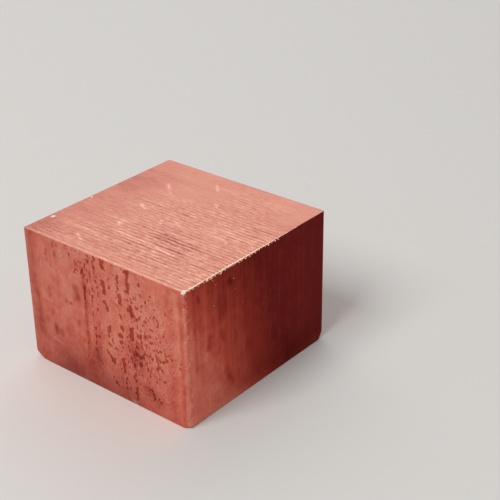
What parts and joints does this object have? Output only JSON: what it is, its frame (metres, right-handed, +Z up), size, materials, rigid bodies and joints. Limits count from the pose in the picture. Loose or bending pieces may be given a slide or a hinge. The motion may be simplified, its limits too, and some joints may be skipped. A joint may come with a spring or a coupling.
{
  "type": "copper block",
  "caption": "Sawn block of drawn square copper bar, with saw-marked ends, tarnished drawn sides, a burr along a top edge and bruised lower corners.",
  "frame": {"origin": "centre of the lower sawn end, on the surface that the block stands on", "axes": "+Z up along the drawn bar, +X towards the side with the saw burr on its top edge, -Y towards the stained side seen at the left in the picture"},
  "size_m": [0.0503, 0.05, 0.035],
  "materials": {
    "copper": "satin"
  },
  "bodies": {
    "root": {"copper_block": "copper"}
  },
  "joints": []
}
